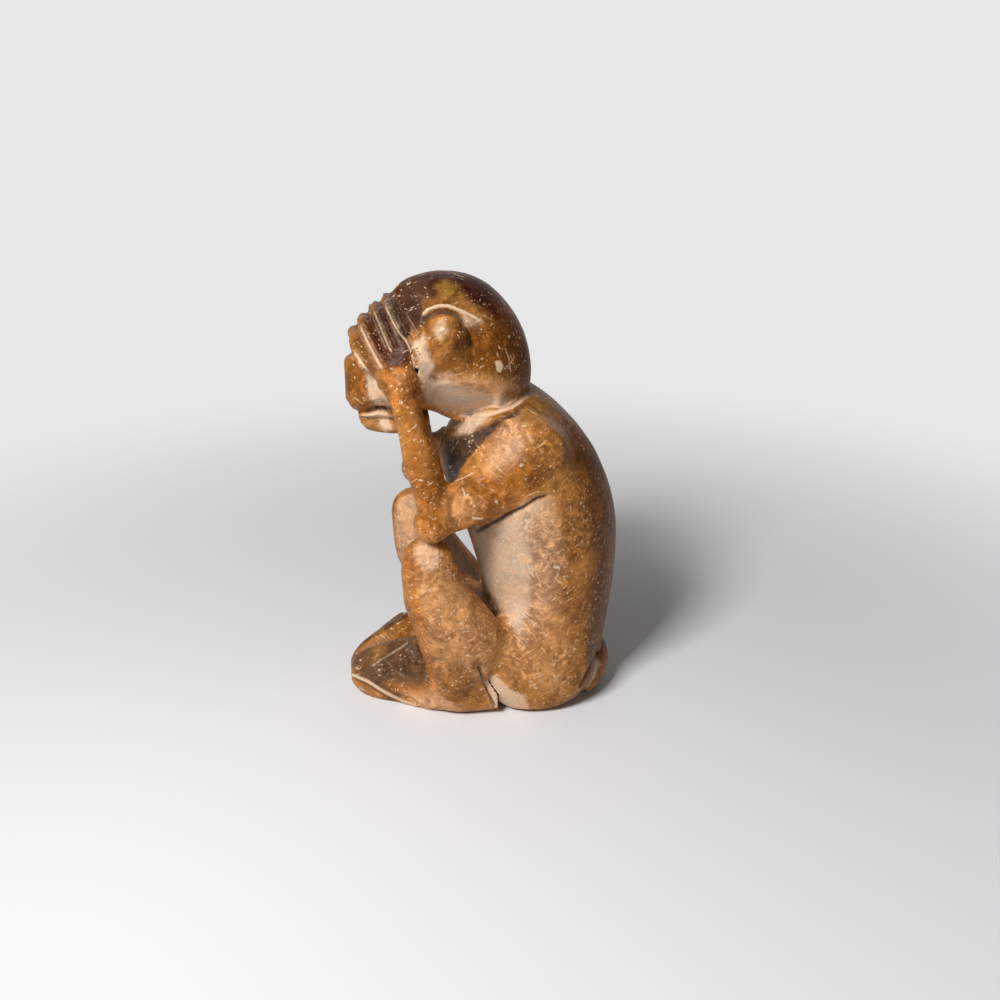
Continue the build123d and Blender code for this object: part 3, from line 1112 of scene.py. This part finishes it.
@dataclass(frozen=True)
class Carving:
    """A group of masses: blended, pushed and planed, then stained and cut.

    The rubbed patches go on over the cuts: stain, and on the ears a painted highlight and shade.
    """

    presses: tuple[Press, ...] = ()
    facets: tuple[Facet, ...] = ()
    patches: tuple[Patch, ...] = ()
    marks: tuple[Cut, ...] = ()
    rubbed: tuple[Patch, ...] = ()

    def blend(self, block: Block) -> None:
        """Melts the creases that the real stone doesn't have."""
        raise NotImplementedError

    def shape(self, block: Block) -> None:
        """Gives the group its form.

        Args:
            block: The stone's skin.
        """
        self.blend(block)
        for push in self.presses:
            block.press(push)
        for flat in self.facets:
            block.facet(flat)

    def finish(self, block: Block) -> None:
        """Paints the group's patches of stain and painted shade, cuts it and paints more over the
        cuts.

        Args:
            block: The stone's skin.
        """
        for patch in self.patches:
            block.paint_patch(patch)
        for mark in self.marks:
            block.cut(mark)
        for patch in self.rubbed:
            block.paint_patch(patch)


@dataclass(frozen=True)
class HeadCarving(Carving):
    """The skull, the ears with their crescent cuts, the snout and the chin."""

    ear_back: float = -12.4
    ear_height: float = 66.0
    lid_slope: float = 0.55
    nape_slope: float = 0.3
    lid: tuple[float, float] = (0.4, 2.2)
    presses: tuple[Press, ...] = (
        Press((0, -17.5, 72.0), 2.4, (0, -0.5, 0.7)),
        Press((0, 3.0, 62.0), 5.0, (0, -0.4, 0)),
        Press((0, -4.0, 74.0), 5.0, (0, 0.3, 0.3)),
        Press((6.0, -22.5, 67.5), 5.0, (-0.1, 0.45, -0.3)),
        Press((5.2, -22.5, 52.6), 2.4, (0, 0, 0.7)),
        Press((0, -23.0, 50.5), 4.5, (0, 0, 0.45)),
    )
    facets: tuple[Facet, ...] = (
        Facet((2.5, -26.4, 53.4), (0.15, -0.86, -0.49), 4.6, 0.9),
        Facet((5.6, -24.5, 57.5), (0.86, -0.5, 0.05), 4.2, 0.75),
        Facet((2.0, -27.3, 57.5), (0.25, -0.96, 0.05), 3.6, 0.7),
        Facet((7.5, -9.0, 56.5), (0.62, -0.1, -0.78), 6.0, 0.6),
    )
    patches: tuple[Patch, ...] = (
        Patch(((392, 290), (400, 276), (424, 268), (457, 262), (490, 272), (520, 306), (542, 375),
              (534, 396), (514, 372), (504, 335), (486, 312), (460, 298), (424, 300), (424, 325),
              (400, 334)), StainAndPaintedLight.OXBLOOD, 1.0, HEAD, 7),
        Patch(((398, 284), (426, 276), (434, 292), (428, 308), (424, 318), (418, 335),
              (404, 330)), StainAndPaintedLight.BARK, 0.6, HEAD, 5),
        Patch(((426, 300), (440, 298), (468, 306), (484, 322), (464, 330), (440, 306),
              (424, 314)), StainAndPaintedLight.UMBER, 0.6, HEAD, 5),
        Patch(((436, 286), (446, 280), (458, 286), (466, 298), (474, 310), (462, 308),
              (442, 300)), StainAndPaintedLight.OCHRE, 0.9, HEAD, 6),
        Patch(((440, 287), (450, 282), (458, 294), (446, 298)), StainAndPaintedLight.OLIVE, 0.7, HEAD, 4),
        Patch(((464, 315), (482, 322), (478, 330), (466, 330)), StainAndPaintedLight.ASH, 0.7, HEAD, 5, raw=0.6),
        Patch(((464, 325), (502, 322), (522, 362), (500, 378), (470, 372), (440, 372),
              (456, 345)), StainAndPaintedLight.UMBER, 0.9, HEAD, 9),
        Patch(((425, 325), (450, 322), (458, 336), (452, 352), (436, 362), (426, 346)),
              StainAndPaintedLight.AMBER, 0.5, HEAD, 6),
        Patch(((440, 378), (470, 374), (520, 384), (526, 396), (510, 403), (480, 398),
              (455, 386)), StainAndPaintedLight.HONEY, 0.9, HEAD, 8, raw=0.3),
        Patch(((495.5, 362), (500, 360.5), (503, 366), (501, 372.5), (497, 371)), StainAndPaintedLight.CREAM,
              1.0, HEAD, 1.2, raw=1.0, once=True),
        Patch(((434, 373), (450, 372), (455, 377), (440, 380)), StainAndPaintedLight.BLUSH, 0.8, HEAD, 4,
              raw=0.3),
        Patch(((428, 380), (444, 379), (456, 385), (470, 392), (496, 396), (516, 402), (500, 415),
              (470, 414), (440, 409), (428, 398)), StainAndPaintedLight.ASH, 1.0, HEAD, 6, raw=0.7),
        Patch(((413, 342), (424, 335), (427, 350), (434, 366), (428, 380), (436, 400), (428, 402),
              (420, 380), (415, 360)), StainAndPaintedLight.ASH, 0.85, HEAD, 4, raw=0.7),
        Patch(((343, 355), (356, 352), (366, 368), (368, 408), (352, 412), (342, 385)),
              StainAndPaintedLight.UMBER, 0.55, ("muzzle",), 6),
        Patch(((366, 366), (374, 372), (391, 408), (380, 410), (368, 396)), StainAndPaintedLight.ASH, 0.8,
              ("muzzle",), 3, raw=0.8),
        Patch(((362, 418), (376, 407), (387, 409), (392, 430), (384, 434), (378, 418)), StainAndPaintedLight.ASH,
              0.85, ("lower_jaw",), 3, raw=0.85),
    )
    marks: tuple[Cut, ...] = (
        Cut(((423, 322), (426, 317), (432, 313), (442, 310.5), (452, 312), (460, 316), (464, 321),
            (463, 329)), 0.62, 0.75, HEAD, Blade.ROUND, raw=0.35, soot=0.75),
        Cut(((420, 318), (428, 309.5), (438, 306), (448, 306), (458, 309.5), (468, 314),
            (476, 318), (482, 323)), 0.42, -0.22, HEAD, Blade.ROUND, raw=0.95),
        Cut(((356, 415.8), (366, 414), (375.8, 407.7), (384, 407), (389, 411)), 0.3, 0.3,
            ("muzzle", "lower_jaw"), Blade.ROUND, soot=0.2, raw=0.8),
        Cut(((505, 349), (509, 358), (511, 374)), 0.2, 0.1, HEAD, raw=0.9, once=True),
        Cut(((503, 370), (509, 365), (516, 356)), 0.2, 0.1, HEAD, raw=0.9, once=True),
        Cut(((535, 387), (527, 396), (513, 406), (491, 413.5), (461, 415.5)), 0.55, 0.3, HEAD +
            ("torso",), Blade.ROUND, raw=0.95, fade=0.0),
    )
    rubbed: tuple[Patch, ...] = (
        # Painted shade on the far side of each ear's boss.
        Patch(((452, 322), (466, 326), (471, 344), (458, 352), (449, 340)), StainAndPaintedLight.OXBLOOD, 0.5,
              both("ear"), 5),
        # Painted highlight on the lit side of each ear's boss.
        Patch(((437, 322), (444, 318), (447, 331), (441, 341), (434, 334)), StainAndPaintedLight.CREAM, 0.4,
              both("ear"), 3),
        Patch(((357, 426), (368, 430), (398, 430), (396, 440), (372, 440)), StainAndPaintedLight.AMBER, 0.8,
              ("lower_jaw",), 3),
    )

    def blend(self, block: Block) -> None:
        """Settles the ears into the skull, and runs face and palms into it.

        Args:
            block: The stone's skin.
        """
        ear, head = both("ear"), ("head",)
        back = block.points[:, 1] - self.ear_back
        rise = block.points[:, 2] - self.ear_height
        below = 1 - smooth(*self.lid, rise + self.lid_slope * back)
        behind = smooth(-3.5, -0.5, back - self.nape_slope * rise)
        block.melt(ear, head, reach=3.2, rounds=300, where=behind * below)
        block.melt(ear, head, reach=1.2, rounds=30, where=below)
        block.melt(("muzzle",), head, reach=2.2, rounds=80)
        block.melt(both("index_finger", "hand"), head, reach=1.8, rounds=90)


@dataclass(frozen=True)
class HandCarving(Carving):
    """The hands pressed over the eyes, with pale knife cuts between the fingers."""

    patches: tuple[Patch, ...] = (
        Patch(((358, 322), (366, 310), (384, 296), (400, 290), (420, 300), (424, 336), (413, 345),
              (410, 366), (394, 370), (382, 364), (368, 345)), StainAndPaintedLight.OXBLOOD, 0.95, HANDS, 6),
        Patch(((376, 300), (414, 288), (422, 334), (398, 345), (380, 330)), StainAndPaintedLight.BARK, 0.8,
              HANDS, 6),
        Patch(((348, 322), (362, 312), (384, 372), (376, 380), (350, 346)), StainAndPaintedLight.UMBER, 0.6,
              FINGERS, 5),
        Patch(((350, 330), (357, 326), (366, 342), (382, 372), (398, 400), (385, 392),
              (364, 362)), StainAndPaintedLight.BARK, 0.45, HANDS, 4),
        Patch(((384, 372), (410, 366), (418, 392), (412, 420), (394, 404)), StainAndPaintedLight.ORANGE, 0.9,
              HANDS + ARMS, 6),
    )
    marks: tuple[Cut, ...] = (
        Cut(((356, 320), (359, 326), (365.7, 339), (370.7, 349), (376.5, 360.7), (383, 371)), 0.6,
            0.45, HANDS, raw=0.8, fade=0.1),
        Cut(((371, 306), (374, 312), (379, 324), (384, 336), (388, 346), (392.5, 355)), 0.5, 0.4,
            HANDS, raw=0.62, fade=0.12),
        Cut(((379, 296), (383, 302.6), (388, 313.4), (393, 323.4), (399.7, 332.5), (407, 341.6),
            (412, 354.9), (414, 365.6), (421, 380)), 0.42, 0.38, HANDS + ("head",), raw=0.75,
            fade=0.06),
        Cut(((396, 312), (400, 320), (406.3, 330), (414.6, 337)), 0.3, 0.22, HANDS, raw=0.5),
        Cut(((405, 312), (411, 322), (418, 334)), 0.25, 0.15, HANDS + ("head",), raw=0.4),
        Cut(((353, 351), (362, 364), (371, 378), (379, 392), (390, 409)), 0.45, 0.3, HANDS +
            ("muzzle",), raw=1.0, fade=0.03),
    )

    def blend(self, block: Block) -> None:
        """Runs the fingers into the back of the hand and the hand into the wrist."""
        block.melt(FINGERS, both("hand"), reach=1.6, rounds=40)
        block.melt(both("hand"), both("forearm"), reach=2.2, rounds=70)


@dataclass(frozen=True)
class ArmCarving(Carving):
    """The slender arms, elbows on the knees."""

    pit_height: float = 40.5
    pit_slope: float = 0.42
    pit_back: float = -3.0
    shoulder_back: float = 1.0
    facets: tuple[Facet, ...] = (
        Facet((12.2, -4.0, 47.0), (0.75, -0.45, 0.48), 6.5, 0.55),
        Facet((14.5, -8.0, 40.0), (0.97, -0.1, 0.2), 5.0, 0.5),
    )
    patches: tuple[Patch, ...] = (
        Patch(((402, 400), (430, 400), (452, 490), (500, 470), (540, 470), (552, 494), (500, 522),
              (440, 545), (415, 530)), StainAndPaintedLight.ORANGE, 0.6, ARMS, 8),
        Patch(((500, 455), (520, 450), (548, 470), (540, 486), (515, 492), (500, 480)),
              StainAndPaintedLight.UMBER, 0.6, ARMS + ("torso",), 8),
        Patch(((440, 502), (462, 492), (484, 500), (480, 516), (456, 524), (444, 516)),
              StainAndPaintedLight.HONEY, 0.8, ARMS, 7),
        Patch(((392, 372), (408, 372), (420, 420), (432, 470), (426, 474), (410, 420)),
              StainAndPaintedLight.HONEY, 0.35, ARMS + HANDS, 5),
        Patch(((420, 400), (426, 420), (446, 490), (440, 500), (424, 440)), StainAndPaintedLight.UMBER, 0.8,
              ARMS, 4),
        Patch(((396, 380), (418, 384), (450, 500), (452, 524), (428, 524), (404, 430)),
              StainAndPaintedLight.UMBER, 0.4, ARMS, 6),
    )
    marks: tuple[Cut, ...] = (
        Cut(((551, 495), (537, 499), (523, 508.5), (504.5, 517), (486, 527), (472, 535)), 0.5,
            0.45, ARMS + ("torso",), Blade.ROUND, soot=0.8, fade=0.08),
        Cut(((450, 482), (462, 478), (474, 472)), 0.2, 0.12, ARMS, raw=1.0, once=True),
        Cut(((462, 486), (466, 500)), 0.2, 0.12, ARMS, raw=1.0, once=True),
        Cut(((471, 517.5), (477, 518.5), (484, 519)), 0.32, 0.12, ARMS, Blade.ROUND, raw=1.0,
            once=True),
    )

    def blend(self, block: Block) -> None:
        """Melts the shoulders into the back and rounds the elbows.

        Args:
            block: The stone's skin.
        """
        back, rise = block.points[:, 1], block.points[:, 2]
        pit = self.pit_height + self.pit_slope * (back - self.pit_back)
        above = smooth(-3.0, 2.5, rise - pit)
        behind = smooth(0.0, 4.0, back - self.shoulder_back)
        block.melt(both("upper_arm"), ("torso",), reach=5.0, rounds=460,
                   where=np.clip(above + behind, 0, 1))
        block.melt(both("upper_arm"), both("forearm"), reach=2.2, rounds=60)
        block.melt(both("forearm"), LEGS, reach=1.2, rounds=20)


@dataclass(frozen=True)
class BodyCarving(Carving):
    """The hunched back, the raw chest and belly, the haunches and the tail."""

    crease_top: tuple[float, float] = (8.0, 11.0)
    lap_floor: tuple[float, float] = (12.0, 16.0)
    patches: tuple[Patch, ...] = (
        Patch(((530, 392), (560, 400), (600, 470), (613, 540), (608, 600), (598, 650), (590, 650),
              (594, 560), (584, 480), (556, 424)), StainAndPaintedLight.UMBER, 0.75, SEAT, 12),
        Patch(((524, 398), (545, 404), (560, 440), (572, 470), (560, 480), (536, 440)),
              StainAndPaintedLight.OLIVE, 0.6, SEAT, 10),
        Patch(((495, 432), (520, 412), (530, 440), (515, 460), (486, 468)), StainAndPaintedLight.BLUSH, 0.5, SEAT
              + ARMS, 8, raw=0.25),
        Patch(((458, 412), (492, 412), (486, 420), (470, 437), (456, 436)), StainAndPaintedLight.ASH, 0.8,
              ("torso",), 5, raw=0.7),
        # Painted shade over the chest under the arms.
        Patch(((440, 440), (470, 434), (498, 420), (524, 405), (510, 430), (490, 456), (458, 492),
              (440, 498)), StainAndPaintedLight.BARK, 1.0, ("torso",), 4),
        # Painted shade in the gap between the near thigh and the belly.
        Patch(((476, 548), (484, 566), (500, 596), (514, 632), (508, 642), (488, 604),
              (470, 562)), StainAndPaintedLight.SHADE_AND_CREASE_BLACK, 0.5, ("torso",), 3),
        # Painted shade on the inside of the far leg.
        Patch(((450, 520), (474, 535), (492, 575), (506, 620), (492, 636), (470, 610),
              (452, 560)), StainAndPaintedLight.SHADE_AND_CREASE_BLACK, 0.75, ("right_leg",), 5, once=True),
        # More painted shade on the chest, in the groove beside the arm.
        Patch(((440, 470), (462, 440), (480, 440), (470, 470), (450, 496)), StainAndPaintedLight.SHADE_AND_CREASE_BLACK, 0.25,
              ("torso",), 6),
        Patch(((472, 534), (505, 518), (530, 504), (545, 500), (530, 530), (535, 570), (530, 600),
              (522, 645), (505, 612), (480, 582)), StainAndPaintedLight.ASH, 0.85, SEAT, 8, raw=0.75),
        Patch(((520, 505), (552, 500), (560, 540), (556, 600), (540, 640), (528, 640),
              (532, 570)), StainAndPaintedLight.BLUSH, 0.7, SEAT, 12, raw=0.25),
        Patch(((505, 640), (560, 600), (575, 650), (560, 690), (505, 675)), StainAndPaintedLight.HONEY, 0.7, SEAT
              + LEGS, 12),
        Patch(((560, 400), (585, 430), (620, 540), (612, 600), (602, 652), (592, 652), (600, 560),
              (588, 470), (566, 424)), StainAndPaintedLight.OXBLOOD, 0.5, SEAT, 6),
        Patch(((482, 670), (496, 676), (508, 688), (524, 696), (530, 712), (497, 713)), StainAndPaintedLight.ASH,
              0.9, both("haunch", "foot"), 3, raw=0.85),
        Patch(((597, 657), (600, 664), (588, 688), (580, 689)), StainAndPaintedLight.CREAM, 0.9, ("tail",), 2,
              raw=0.9),
    )
    marks: tuple[Cut, ...] = (
        Cut(((519, 549), (527, 564), (535, 579)), 0.3, 0.1, SEAT, raw=1.0, once=True),
        Cut(((515, 550), (523, 566), (531, 582)), 0.25, 0.1, SEAT, raw=1.0, once=True),
        Cut(((566, 552), (560, 566), (555, 582)), 0.22, 0.08, SEAT, raw=0.9, once=True),
        Cut(((479.5, 668), (485.5, 682.5), (491, 697), (495.5, 711)), 0.5, 0.9,
            both("haunch", "leg", "foot"), raw=0.9, soot=0.25, fade=0.0),
        Cut(((553, 566), (556, 567.5), (559, 567)), 0.4, 0.12, SEAT, Blade.ROUND, raw=1.0),
        Cut(((597, 652), (590, 668), (580, 687)), 0.4, 0.3, SEAT, soot=0.9, fade=0.0),
    )

    def blend(self, block: Block) -> None:
        """Runs the haunches into the back and the thighs.

        Args:
            block: The stone's skin.
        """
        haunch, rise = both("haunch"), block.points[:, 2]
        block.melt(haunch, ("torso",), reach=5.0, rounds=300)
        block.melt(haunch, LEGS, reach=3.5, rounds=160, where=smooth(*self.crease_top, rise))
        block.melt(("torso",), LEGS, reach=1.5, rounds=40,
                   where=1 - smooth(*self.lap_floor, rise))


@dataclass(frozen=True)
class LegCarving(Carving):
    """The folded legs and the pointed feet that meet in a prow."""

    ankle_top: tuple[float, float] = (8.0, 11.0)
    ankle_side: tuple[float, float] = (9.0, 12.0)
    facets: tuple[Facet, ...] = (
        Facet((14.4, -16.6, 29.0), (0.92, -0.3, 0.25), 3.4, 0.6),
        Facet((11.5, -20.3, 28.5), (0.15, -0.98, 0.12), 5.0, 0.3),
        Facet((7.5, -22.0, 9.0), (0.55, -0.25, 0.8), 6.0, 0.6),
    )
    patches: tuple[Patch, ...] = (
        Patch(((412, 575), (445, 560), (500, 640), (488, 670), (440, 680), (425, 650)),
              StainAndPaintedLight.HONEY, 0.8, LEGS, 10),
        Patch(((425, 668), (460, 664), (474, 690), (470, 712), (430, 706)), StainAndPaintedLight.UMBER, 0.45,
              LEGS, 8),
        Patch(((414, 548), (422, 541), (436, 543), (440, 556), (437, 571), (426, 572),
              (416, 562)), StainAndPaintedLight.BLUSH, 0.8, LEGS, 4, raw=0.4),
        Patch(((403, 556), (410, 560), (428, 640), (440, 690), (430, 690), (418, 640)),
              StainAndPaintedLight.ORANGE, 0.8, LEGS, 5),
        Patch(((345, 660), (400, 610), (425, 640), (434, 680), (400, 700), (365, 685)),
              StainAndPaintedLight.BARK, 0.85, FEET, 8),
        Patch(((372, 664), (384, 652), (384, 640), (374, 646)), StainAndPaintedLight.OCHRE, 0.7, FEET, 6),
        Patch(((385, 682), (402, 684), (430, 690), (430, 704), (400, 696)), StainAndPaintedLight.ORANGE, 0.7,
              FEET, 6),
        Patch(((410, 694), (450, 690), (460, 712), (425, 712)), StainAndPaintedLight.BLUSH, 0.5, FEET, 8,
              raw=0.3),
    )
    marks: tuple[Cut, ...] = (
        # A raised ridge on the foot; the pale bared line along it is a painted highlight.
        Cut(((369.8, 667.8), (385.9, 657.4), (399.7, 649.4), (411.2, 642.5)), 0.5, -0.4, FEET,
            Blade.ROUND, raw=0.3),
        Cut(((350, 673), (368.7, 681.5), (385.9, 691.9), (404.3, 701), (420, 706)), 0.42, -0.3,
            FEET, Blade.ROUND, raw=1.0, fade=0.06),
        Cut(((351, 677), (368, 686), (386, 697), (402, 705)), 0.35, 0.2, FEET, soot=0.6),
        Cut(((437.6, 545), (438, 558), (437, 570)), 0.3, -0.15, LEGS, Blade.ROUND, raw=0.6),
    )

    def blend(self, block: Block) -> None:
        """Runs the shins into the feet and the feet into the web between them.

        Args:
            block: The stone's skin.
        """
        low = 1 - smooth(*self.ankle_top, block.points[:, 2])
        outer = smooth(*self.ankle_side, np.abs(block.points[:, 0]))
        block.melt(LEGS, both("foot"), reach=3.5, rounds=160, where=np.clip(low * outer, 0, 1))
        block.melt(both("foot"), ("shin_web",), reach=1.6, rounds=30)


@dataclass(frozen=True)
class WearAndShade:
    """Bare hollows, dark back, pale ridges from handling and dust; dark creases; painted lap
    shade.

    Each pair is where an effect starts and where it is whole, as a depth or a place in
    millimetres or a share of the way that the skin faces.
    """

    fine_rounds: int = 6
    broad_rounds: int = 60
    crease: tuple[float, float] = (0.10, 0.30)
    hollow: tuple[float, float] = (0.25, 1.1)
    ridge: tuple[float, float] = (0.06, 0.2)
    inward: tuple[float, float] = (0.15, 0.6)
    off_middle: tuple[float, float] = (2.0, 4.0)
    lap_front: tuple[float, float] = (-18.0, -13.0)
    lap_top: tuple[float, float] = (30.0, 34.0)
    rearward: tuple[float, float] = (0.45, 0.85)

    def wear(self, block: Block) -> None:
        """Changes the block's stain, bareness and darkening, and paints shade into the lap.

        Args:
            block: The stone's skin.
        """
        fine, broad = block.hollowness(self.fine_rounds), block.hollowness(self.broad_rounds)
        # Darkens points that lie deep in fine creases.
        block.soot = np.maximum(block.soot, 0.75 * smooth(*self.crease, fine))
        across, back, rise = block.points.T
        inward = smooth(*self.inward, -block.out[:, 0] * np.sign(across))
        inward *= smooth(*self.off_middle, np.abs(across)) * block.part(LEGS + ARMS)
        block.wipe(StainAndPaintedLight.HONEY, 0.7 * inward)
        block.raw = np.maximum(block.raw, 0.4 * inward)
        # Painted shade: inward-facing points low in the lap, darkened with bark and near-black.
        lap = inward * smooth(*self.lap_front, back) * (1 - smooth(*self.lap_top, rise))
        block.wipe(StainAndPaintedLight.BARK, 0.9 * lap)
        block.soot = np.maximum(block.soot, 0.6 * lap)
        rear = smooth(*self.rearward, block.out[:, 1]) * block.part(SEAT + ("head",))
        block.wipe(StainAndPaintedLight.UMBER, 0.7 * rear)
        hollow = smooth(*self.hollow, broad)
        block.wipe(StainAndPaintedLight.ASH, 0.6 * hollow)
        block.raw = np.maximum(block.raw, 0.6 * hollow)
        block.wipe(StainAndPaintedLight.CREAM, 0.25 * smooth(*self.ridge, -fine))


@dataclass(frozen=True)
class Lamp:
    """A soft square lamp, placed to the right, up and back of the view's target."""

    name: str
    place: tuple[float, float, float]
    power: float
    size: float

    def add(self, view: Viewpoint) -> None:
        """Adds the lamp, aimed at the carving.

        Args:
            view: The photograph's viewpoint.
        """
        data = bpy.data.lights.new(self.name, "AREA")
        data.energy = self.power
        data.size = self.size
        away = np.array(self.place) @ view.axes()
        lamp = bpy.data.objects.new(self.name, data)
        lamp.location = Vector(view.target + away) * MM
        lamp.rotation_euler = Vector(away).to_track_quat("Z", "Y").to_euler()
        bpy.context.scene.collection.objects.link(lamp)


@dataclass(frozen=True)
class Studio:
    """A plain pale floor and plain soft light."""

    floor_side: float = 40.0
    floor_colour: Colour = (0.80, 0.80, 0.81)
    floor_roughness: float = 0.9
    lamps: tuple[Lamp, ...] = (
        Lamp("key", (-120, 110, 250), 1.0, 0.08),
        Lamp("fill", (320, 60, 200), 0.06, 0.4),
        Lamp("back", (0, 190, -280), 0.28, 0.4),
    )
    sky: float = 0.11
    backdrop: float = 0.80
    glow_start: float = 0.03
    glow_end: float = 0.21

    def build(self, view: Viewpoint) -> None:
        """Adds the floor, the lamps and the sky.

        Args:
            view: The photograph's viewpoint.
        """
        self._floor()
        for lamp in self.lamps:
            lamp.add(view)
        world = bpy.data.worlds.new("studio")
        world.use_nodes = True
        graph = Graph(world.node_tree, keep=True)
        light = world.node_tree.nodes["Background"]
        light.inputs["Color"].default_value = (1, 1, 1, 1)
        seen = graph.node("ShaderNodeLightPath").outputs["Is Camera Ray"]
        seen = graph.times(seen, self.backdrop - self.sky)
        graph.feed(light.inputs["Strength"], graph.plus(seen, self.sky))
        bpy.context.scene.world = world
        bpy.context.scene.view_settings.view_transform = "Standard"

    def _floor(self) -> None:
        """Adds the plain floor, which runs into the backdrop away from the carving."""
        sheet = bmesh.new()
        bmesh.ops.create_grid(sheet, x_segments=1, y_segments=1, size=self.floor_side / 2)
        mesh = bpy.data.meshes.new("floor")
        sheet.to_mesh(mesh)
        sheet.free()
        floor = bpy.data.objects.new("floor", mesh)
        bpy.context.scene.collection.objects.link(floor)
        paint = bpy.data.materials.new("pale_floor")
        paint.use_nodes = True
        shader = paint.node_tree.nodes["Principled BSDF"]
        shader.inputs["Base Color"].default_value = (*self.floor_colour, 1)
        shader.inputs["Roughness"].default_value = self.floor_roughness
        shader.inputs["Specular IOR Level"].default_value = 0.0
        graph = Graph(paint.node_tree, keep=True)
        place = graph.node("ShaderNodeTexCoord").outputs["Object"]
        reach = graph.node("ShaderNodeVectorMath", operation="LENGTH", in_0=place)
        seen = graph.node("ShaderNodeLightPath").outputs["Is Camera Ray"]
        far = graph.band(reach.outputs["Value"], self.glow_start, self.glow_end)
        glow = graph.node("ShaderNodeEmission", in_Color=(1.0, 1.0, 1.0),
                          in_Strength=self.backdrop)
        mixed = graph.node("ShaderNodeMixShader", in_0=graph.times(far, seen),
                           in_1=shader.outputs[0], in_2=glow.outputs[0])
        output = paint.node_tree.nodes["Material Output"]
        graph.feed(output.inputs["Surface"], mixed.outputs[0])
        mesh.materials.append(paint)


def main() -> None:
    """Builds the carving, its finish and its studio."""
    logging.basicConfig(level=logging.INFO, format="%(name)s %(relativeCreated)6d: %(message)s")
    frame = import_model()
    view = Viewpoint()
    view.add_camera()
    block = Block(frame["nodes"], view, GRAIN)
    LOG.info("welded %d points", len(block.points))
    groups = (HeadCarving(), HandCarving(), ArmCarving(), BodyCarving(), LegCarving())
    for group in groups:
        group.shape(block)
        LOG.info("shaped %s", type(group).__name__)
    block.aim()
    for size, amount in RIPPLES:
        block.ripple(size, amount)
    for group in groups:
        group.finish(block)
        LOG.info("finished %s", type(group).__name__)
    WearAndShade().wear(block)
    block.settle()
    for name, piece in block.split(Soapstone().build()).items():
        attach(piece, "root")
        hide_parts(name)
        LOG.info("piece %s: %d faces", piece.name, len(piece.data.polygons))
    Studio().build(view)
    bpy.context.view_layer.update()


if __name__ == "__main__":
    main()
